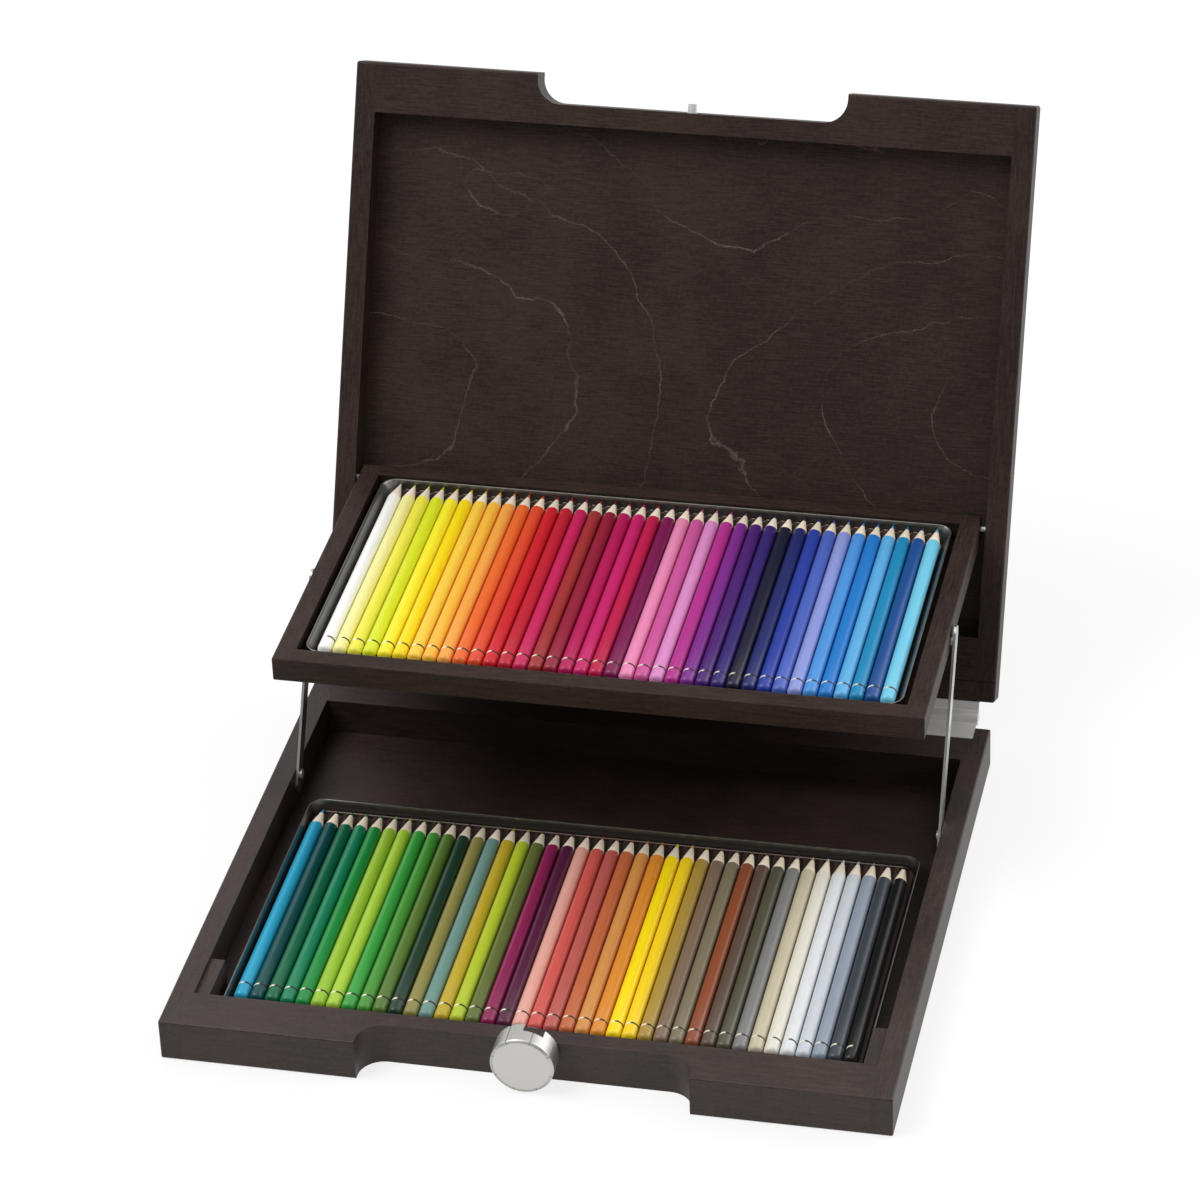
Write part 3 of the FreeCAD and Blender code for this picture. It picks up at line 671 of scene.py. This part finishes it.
@dataclass
class PencilRow:
    """One row of sharpened round pencils: lacquered barrels in colour groups, bare points and leads."""

    side: str
    body: str
    seed: int
    sides: int = 24
    cone: float = 12.5 * MM
    lead_radius: float = 1.25 * MM
    ring_from_blunt: float = 9.8 * MM
    end_round: float = 2.4 * MM
    film: float = 0.05 * MM
    lacquer_wave: float = 0.55 * MM
    wood_wave: float = 0.25 * MM

    def __post_init__(self) -> None:
        """Reads the row's place from its CAD nodes and prepares its colour groups."""
        self.groups = [(name, [linear(c) for c in codes.split()]) for name, codes in PALETTE[self.side]]
        low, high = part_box(self.node(self.groups[0][0]))
        self.radius = (high.z - low.z) / 2
        self.axis_z = (high.z + low.z) / 2
        self.blunt_y = low.y
        self.barrel = high.y - low.y
        self.rng = np.random.default_rng(self.seed)
        self.spindle = Spindle(self.sides)
        self.centres: list[float] = []
        self.shades: list[Colour] = []

    def node(self, group: str) -> str:
        """The CAD node of one colour group."""
        return f"{self.side}_pencils_{group}"

    def slope(self) -> float:
        """How fast the point narrows, as radius per length."""
        return (self.radius - self.lead_radius) / self.cone

    def waves(self, height: float) -> np.ndarray:
        """An uneven cut round the pencil: three slow and seven quick waves with their own phases."""
        turn = np.arange(self.sides) * TURN / self.sides
        slow, quick = self.rng.uniform(0, TURN, 2)
        return height * (1.0 + 0.5 * np.cos(3 * turn + slow) + 0.25 * np.cos(7 * turn + quick))

    def level(self, value: float | np.ndarray) -> np.ndarray:
        """The same value, or given values, round one ring."""
        return np.broadcast_to(np.asarray(value, float), (self.sides,)).copy()

    def barrel_shape(self) -> tuple[np.ndarray, list[list[int]]]:
        """A lacquered barrel: domed blunt end, straight shaft, and an uneven lacquer edge on the cone.

        Returns:
            Vertices and faces about the axis, from the blunt end at 0. A dome point at angle t
            lies end_round (1 - cos t) along, at radius - end_round (1 - sin t) from the axis.
        """
        r, length, e = self.radius, self.barrel, self.end_round
        rings = [(self.level(0.0), self.level(0.4 * (r - e)))]
        for t in np.linspace(0.0, math.pi / 2, 6):
            along, radius = 0.04 * MM + e * (1 - math.cos(t)), r - e * (1 - math.sin(t))
            rings.append((self.level(along), self.level(radius)))
        for share in (0.25, 0.5, 0.75, 1.0):
            rings.append((self.level(length * share), self.level(r)))
        edge = length + self.waves(self.lacquer_wave)
        on_cone = r - (edge - length) * self.slope()
        rings.append((edge, on_cone + self.film))
        rings.append((edge - self.film, on_cone - 3 * self.film))
        rings.append((self.level(length - 1.0 * MM), self.level(r * 0.7)))
        return self.spindle.surface(np.array([a for a, _ in rings]), np.array([b for _, b in rings]))

    def point_shape(self) -> tuple[np.ndarray, list[list[int]]]:
        """The bare cone, starting hidden inside the lacquer.

        Returns:
            Vertices and faces about the axis, from the blunt end at 0.
        """
        r, length = self.radius, self.barrel
        cut = length + self.cone + self.waves(self.wood_wave) - self.wood_wave
        rings = [
            (self.level(length - 0.8 * MM), self.level(r - 0.3 * MM)),
            (self.level(length), self.level(r - 0.02 * MM)),
            (self.level(length + self.cone * 0.5), self.level(r - self.cone * 0.5 * self.slope())),
            (cut, r - (cut - length) * self.slope()),
            (cut, self.level(self.lead_radius * 0.7)),
        ]
        return self.spindle.surface(np.array([a for a, _ in rings]), np.array([b for _, b in rings]))

    def lead_shape(self) -> tuple[np.ndarray, list[list[int]]]:
        """The coloured lead with a softly rounded tip.

        Returns:
            Vertices and faces about the axis, from the blunt end at 0.
        """
        start = self.barrel + self.cone
        along = np.array([self.level(start + s * MM) for s, _ in LEAD_PROFILE])
        radius = np.array([self.level(r * MM) for _, r in LEAD_PROFILE])
        return self.spindle.surface(along, radius)

    def gather(self, name: str, kind: str, first: int, count: int, shades: list[Colour]) -> bpy.types.Object:
        """Joins the same part of several pencils into one piece with its shades.

        Args:
            name: the piece's name.
            kind: "barrel", "point" or "lead".
            first: the number of the first pencil.
            count: how many pencils.
            shades: one linear colour for each.

        Returns:
            The piece, riding on the row's body.
        """
        make = {"barrel": self.barrel_shape, "point": self.point_shape, "lead": self.lead_shape}[kind]
        points, faces, colours = [], [], []
        total = 0
        for i in range(count):
            own, own_faces = make()
            points.append(own + np.array([self.centres[first + i], self.blunt_y, self.axis_z]))
            faces += [[v + total for v in face] for face in own_faces]
            colours.append(np.tile(with_alpha(shades[i]), (len(own), 1)))
            total += len(own)
        piece = new_piece(name, np.concatenate(points), faces, self.body)
        layer = piece.data.color_attributes.new("shade", "FLOAT_COLOR", "POINT")
        layer.data.foreach_set("color", np.concatenate(colours).astype(np.float32).ravel())
        return piece

    def build(self) -> None:
        """Builds and dresses the barrels of each colour group, then the points and the leads."""
        lacquer = Lacquer(f"{self.side}_pencil_lacquer", self.blunt_y + self.ring_from_blunt).material()
        for group, shades in self.groups:
            low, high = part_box(self.node(group))
            first = len(self.centres)
            span = (high.x - low.x - 2 * self.radius) / max(len(shades) - 1, 1)
            self.centres += [low.x + self.radius + i * span for i in range(len(shades))]
            self.shades += shades
            piece = self.gather(f"{self.side}_{group}_barrels", "barrel", first, len(shades), shades)
            piece.data.materials.append(lacquer)
            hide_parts(self.node(group))
            LOG.info("%s: %d pencils", piece.name, len(shades))
        count = len(self.centres)
        cedar = np.array(linear("F4E6D0")) * self.rng.uniform(0.86, 1.06, (count, 1))
        points = self.gather(f"{self.side}_points", "point", 0, count, [tuple(c) for c in cedar])
        points.data.materials.append(BareCedar(f"{self.side}_bare_cedar").material())
        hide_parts(f"{self.side}_pencil_points")
        darker = [tuple(0.8 * v for v in shade) for shade in self.shades]
        leads = self.gather(f"{self.side}_leads", "lead", 0, count, darker)
        leads.data.materials.append(WaxLead(f"{self.side}_wax_lead").material())
        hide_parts(f"{self.side}_pencil_leads")
        LOG.info("%s row: %d points and leads", self.side, count)


@dataclass
class Tin:
    """A shallow sheet tin with rounded corners, sloping walls and a rolled rim."""

    node: str
    body: str
    slope_x: float
    slope_y: float = 0.6 * MM
    wall: float = 0.6 * MM
    rim_out: float = 0.5 * MM
    rim_radius: float = 0.55 * MM
    corner: float = 9.0 * MM
    corner_steps: int = 12

    def loop(self, half_x: float, half_y: float, radius: float) -> np.ndarray:
        """A rounded rectangle about the origin, anticlockwise from above.

        Args:
            half_x: half its width.
            half_y: half its depth.
            radius: its corner radius.

        Returns:
            Points in the plane. Each corner is a quarter circle about a centre one radius in
            from both sides.
        """
        quarter = np.linspace(0, math.pi / 2, self.corner_steps)
        parts = []
        for k, (sx, sy) in enumerate(((1, 1), (-1, 1), (-1, -1), (1, -1))):
            turn = quarter + k * math.pi / 2
            centre = np.array([sx * (half_x - radius), sy * (half_y - radius)])
            parts.append(centre + radius * np.stack([np.cos(turn), np.sin(turn)], -1))
        return np.concatenate(parts)

    def build(self) -> bpy.types.Object:
        """Builds the tin in its CAD node's place.

        Returns:
            The piece. Each ring of the surface is the rounded rectangle of one profile point: set
            in from the rim by the profile's offset, and by the walls' slope for its depth.
        """
        low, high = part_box(self.node)
        half = (high - low) / 2
        middle = (high + low) / 2
        height = high.z - low.z
        a, w, r = self.rim_out, self.wall, self.rim_radius
        roll = np.linspace(-0.75 * math.pi, 0.75 * math.pi, 11)
        rim_centre = a + w - r
        profile = [(a, 0.0), (a, 0.5 * height), (a, height - 2.2 * r)]
        profile += [(rim_centre - r * math.cos(t), height - r + r * math.sin(t)) for t in roll]
        profile += [(a + w, height - 2.4 * r), (a + w, 0.5 * height), (a + w, w)]
        rings = []
        for offset, z in profile:
            deep = 1.0 - z / height
            inset_x = max(offset, 0.0) + self.slope_x * deep
            inset_y = max(offset, 0.0) + self.slope_y * deep
            ring = self.loop(half.x - inset_x, half.y - inset_y, self.corner - offset)
            rings.append(np.column_stack([ring + [middle.x, middle.y], np.full(len(ring), low.z + z)]))
        sides = len(rings[0])
        faces = ring_faces(len(rings), sides)[:, ::-1].tolist()
        faces.append(list(range(sides))[::-1])
        faces.append(list(range((len(rings) - 1) * sides, len(rings) * sides)))
        piece = new_piece(self.node + "_sheet", np.concatenate(rings), faces, self.body)
        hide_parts(self.node)
        return piece


@dataclass
class Woodwork:
    """The stained boards of base, lid and tray, which keep their CAD shapes."""

    nodes: dict[str, bpy.types.Object]

    def build(self) -> None:
        """Gives every board the finish that follows its own fibres."""
        flat, tilted = 0.0, LID_OPEN
        plans = {
            "base_rails_across": (Grain.ALONG_X, flat, False, 0.13, ("base_front_rail", "base_rear_rail")),
            "base_rails_deep": (Grain.ALONG_Y, flat, False, 0.29, ("base_left_rail", "base_right_rail")),
            "corner_blocks": (Grain.ALONG_Y, flat, False, 0.41, ("corner_block_left", "corner_block_right")),
            "base_floor": (Grain.ALONG_X, flat, False, 0.53, ("base_floor_panel",)),
            "lid_rails_across": (Grain.ALONG_X, tilted, False, 0.67, ("lid_front_rail", "lid_rear_rail")),
            "lid_strip": (Grain.ALONG_X, tilted, False, 0.71, ("lid_hinge_strip",)),
            "lid_rails_deep": (Grain.ALONG_Y, tilted, False, 0.83, ("lid_left_rail", "lid_right_rail")),
            "lid_board": (Grain.ALONG_X, tilted, True, 0.97, ("lid_panel",)),
            "tray_rails_across": (Grain.ALONG_X, flat, False, 1.13, ("tray_front_rail", "tray_rear_rail")),
            "tray_rails_deep": (Grain.ALONG_Y, flat, False, 1.27, ("tray_left_rail", "tray_right_rail")),
            "tray_floor": (Grain.ALONG_X, flat, False, 1.31, ("tray_floor_panel",)),
        }
        for name, (grain, turn, figured, seed, members) in plans.items():
            kind = name.split("_")[0]
            jointed = kind == "lid" and not figured
            wood = Wood("stained_" + name, grain, turn, figured, seed, WOOD_GLOSS[kind], jointed)
            dress(self.nodes, wood.material(), members)


def dress(nodes: dict[str, bpy.types.Object], material: bpy.types.Material, members: Sequence[str]) -> None:
    """Gives CAD nodes one material.

    Args:
        nodes: the frame's nodes by name.
        material: the finish.
        members: the names of the nodes.
    """
    for name in members:
        nodes[name].data.materials.clear()
        nodes[name].data.materials.append(material)
    LOG.info("%s on %s", material.name, ", ".join(members))


@dataclass
class Fittings:
    """Hinges, pins, link strips, knob and beds, which keep their CAD shapes."""

    nodes: dict[str, bpy.types.Object]

    def build(self) -> None:
        """Gives every fitting its finish."""
        nickel = Metal("satin_nickel", linear("F8F7F4"), 0.26, metallic=0.5).material()
        names = ["hinge_base_leaf", "hinge_lid_leaf", "hinge_pin"]
        dress(self.nodes, nickel, [f"{n}_{side}" for n in names for side in ("left", "right")])
        screws = Metal("screw_nickel", linear("E6E5E1"), 0.32, (1.0, 1.0, 1.0), 0.5).material()
        dress(self.nodes, screws, ("base_hinge_screws", "lid_hinge_screws"))
        dull = Metal("dull_steel", linear("7C7C7E"), 0.35, (1.0, 1.0, 1.0)).material()
        dress(self.nodes, dull, ("knob_axle", "knob_washer", "knob_nut"))
        bright = Metal("bright_strip", linear("D8D8D6"), 0.22, (1.0, 0.05, 0.05)).material()
        dress(self.nodes, bright, ("link_strip_left", "link_strip_right"))
        pins = Metal("pin_steel", linear("F4F4F2"), 0.20, (1.0, 1.0, 1.0), 0.5).material()
        dress(self.nodes, pins, ("link_base_pins", "link_tray_pins", "tray_pivot_pins", "catch_pin"))
        low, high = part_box("knob_cup")
        centre = tuple((low + high) / 2)
        radius = (high.x - low.x) / 2
        knob = TurnedMetal("turned_aluminium", linear("CDCCC8"), 0.30, centre, radius).material()
        dress(self.nodes, knob, ("knob_cup",))
        for name in ("upper_tin_bed", "lower_tin_bed"):
            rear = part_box(name)[1].y
            dress(self.nodes, Moulded("moulded_" + name, linear("3A2B25"), rear).material(), (name,))


@dataclass
class Studio:
    """Camera, soft light and the pale floor."""

    place: Point = (0.5325571, -2.1625226, 1.6560917)
    angles: Point = (56.7633, 2.0539, 12.1740)
    lens: float = 153.057
    sensor: float = 36.0
    floor_half: float = 9.0
    sky: float = 0.76
    front_share: float = 0.12
    lift_by_depth: float = 0.6
    target: Point = (0.0, 0.05, 0.1)
    floor_drop: float = 0.2 * MM
    paper_diffuse: float = 0.23
    paper_glow: float = 0.77

    def camera(self) -> None:
        """Sets the camera where the photograph was taken from."""
        data = bpy.data.cameras.new("camera")
        data.lens = self.lens
        data.sensor_width = self.sensor
        data.clip_end = 50.0
        camera = bpy.data.objects.new("camera", data)
        camera.location = self.place
        camera.rotation_euler = Euler([math.radians(a) for a in self.angles], "XYZ")
        bpy.context.scene.collection.objects.link(camera)
        bpy.context.scene.camera = camera

    def lamp(self, name: str, place: Point, size: float, watts: float) -> None:
        """Adds a square soft box that faces the case.

        Args:
            name: the lamp's name.
            place: its place in metres.
            size: its side in metres.
            watts: its power.
        """
        data = bpy.data.lights.new(name, "AREA")
        data.size = size
        data.energy = watts
        lamp = bpy.data.objects.new(name, data)
        lamp.location = place
        lamp.rotation_euler = (Vector(self.target) - Vector(place)).to_track_quat("-Z", "Y").to_euler()
        bpy.context.scene.collection.objects.link(lamp)

    def world(self) -> None:
        """A surround that is white to the camera and dim towards the low front for light and gloss.

        With a direction's height z and depth y, its brightness grows smoothly from front_share to
        1 while z + lift_by_depth y goes from -0.4 to 0.6.
        """
        world = bpy.data.worlds.new("surround")
        bpy.context.scene.world = world
        sky = Surround(world)
        direction = sky.node("ShaderNodeTexCoord").outputs["Generated"]
        split = sky.node("ShaderNodeSeparateXYZ", None, {0: direction})
        lift = Expr(sky, split.outputs["Z"]) + Expr(sky, split.outputs["Y"]) * self.lift_by_depth
        shade = lift.ramp(-0.4, 0.6, self.front_share, 1.0)
        path = sky.node("ShaderNodeLightPath")
        seen = Expr(sky, path.outputs["Is Camera Ray"])
        seen = seen.math("MAXIMUM", Expr(sky, path.outputs["Is Transmission Ray"]))
        gloss = Expr(sky, path.outputs["Is Glossy Ray"])
        part = shade * (gloss * (1.0 - self.sky) + self.sky)
        sky.put(sky.surface.inputs["Strength"], part.math("MAXIMUM", seen))

    def floor(self) -> None:
        """A wide pale floor just under the case, near white to the camera, keeping a soft shadow."""
        h = self.floor_half
        mesh = bpy.data.meshes.new("floor")
        z = -self.floor_drop
        mesh.from_pydata([(-h, -h, z), (h, -h, z), (h, h, z), (-h, h, z)], [], [(0, 1, 2, 3)])
        floor = bpy.data.objects.new("floor", mesh)
        bpy.context.scene.collection.objects.link(floor)
        shader = Shader("floor_paper", {"Roughness": 0.9, "Specular IOR Level": 0.0})
        shader.feed("Base Color", (0.80, 0.80, 0.80, 1.0))
        path = shader.node("ShaderNodeLightPath")
        seen = Expr(shader, path.outputs["Is Camera Ray"])
        for kind in ("Is Glossy Ray", "Is Transmission Ray"):
            seen = seen.math("MAXIMUM", Expr(shader, path.outputs[kind]))
        grey = with_alpha((self.paper_diffuse,) * 3)
        soft = shader.node("ShaderNodeBsdfDiffuse", None, {"Color": grey})
        white = {"Color": (1.0, 1.0, 1.0, 1.0), "Strength": self.paper_glow}
        glow = shader.node("ShaderNodeEmission", None, white)
        both = shader.node("ShaderNodeAddShader", None, {0: soft.outputs[0], 1: glow.outputs[0]})
        choice = shader.node(
            "ShaderNodeMixShader", None, {0: seen, 1: shader.surface.outputs[0], 2: both.outputs[0]}
        )
        shader.put(shader.output.inputs["Surface"], choice.outputs[0])
        mesh.materials.append(shader.material)

    def build(self) -> None:
        """Sets up camera, surround, lamps and floor."""
        bpy.context.scene.view_settings.view_transform = "Standard"
        self.camera()
        self.world()
        self.lamp("key_left", (-1.5, -0.6, 2.5), 1.6, 45.0)
        self.lamp("back_right", (1.9, 1.2, 1.3), 1.6, 24.0)
        self.floor()


def main() -> None:
    """Builds the case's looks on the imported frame."""
    logging.basicConfig(level=logging.INFO, format="%(name)s: %(message)s")
    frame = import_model()
    Studio().build()
    Woodwork(frame["nodes"]).build()
    Fittings(frame["nodes"]).build()
    tin_metal = Metal("tin_sheet", linear("92928F"), 0.27, (1.0, 1.0, 1.0)).material()
    for tin in (Tin("upper_tin", "tray", 5.5 * MM), Tin("lower_tin", "base", 2.2 * MM)):
        piece = tin.build()
        piece.data.materials.append(tin_metal)
        LOG.info("%s built", piece.name)
    PencilRow("upper", "tray", 11).build()
    PencilRow("lower", "base", 23).build()


if __name__ == "__main__":
    main()
